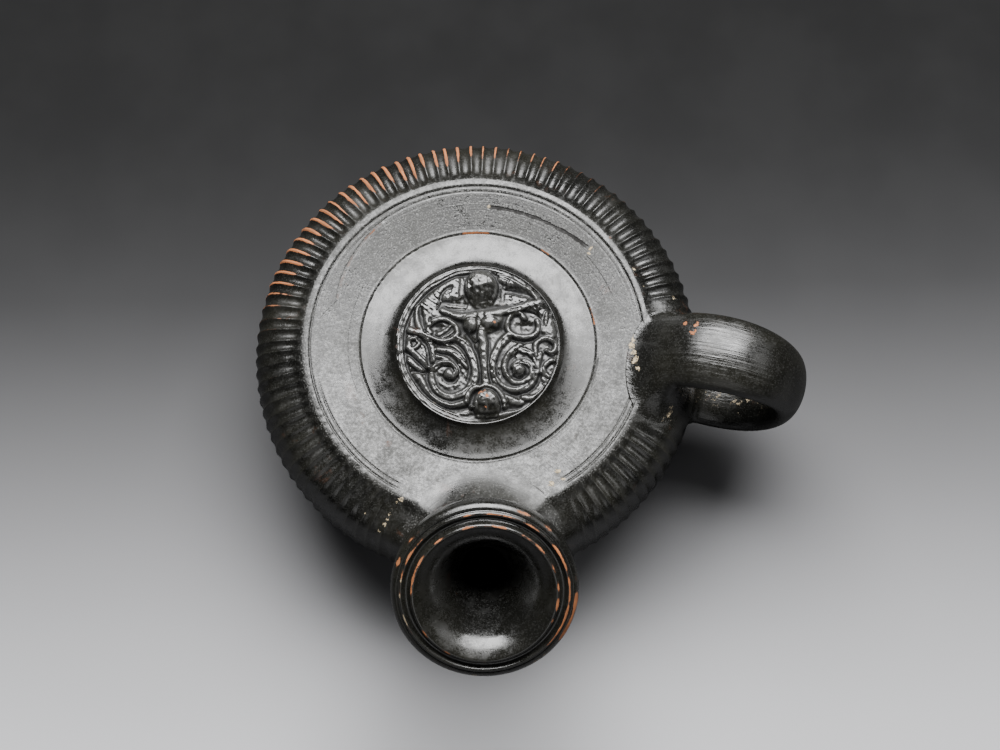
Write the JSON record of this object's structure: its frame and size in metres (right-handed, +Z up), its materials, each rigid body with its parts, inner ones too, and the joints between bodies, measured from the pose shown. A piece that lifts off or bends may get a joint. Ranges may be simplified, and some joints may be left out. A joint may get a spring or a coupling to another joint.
{
  "type": "guttus",
  "caption": "Black-glazed clay pouring vessel with a fluted round body, a relief medallion on top, a trumpet-mouthed spout and a ring handle.",
  "frame": {"origin": "middle of the bounding box seen from above, at the level of the foot ring's rest face", "axes": "+Z up out of the medallion, -Y the way the spout leans, +X the side of the handle"},
  "size_m": [0.1248, 0.128, 0.0762],
  "materials": {
    "black_glaze": "satin black glaze over orange clay"
  },
  "bodies": {
    "root": {"guttus": "black_glaze"}
  },
  "joints": []
}
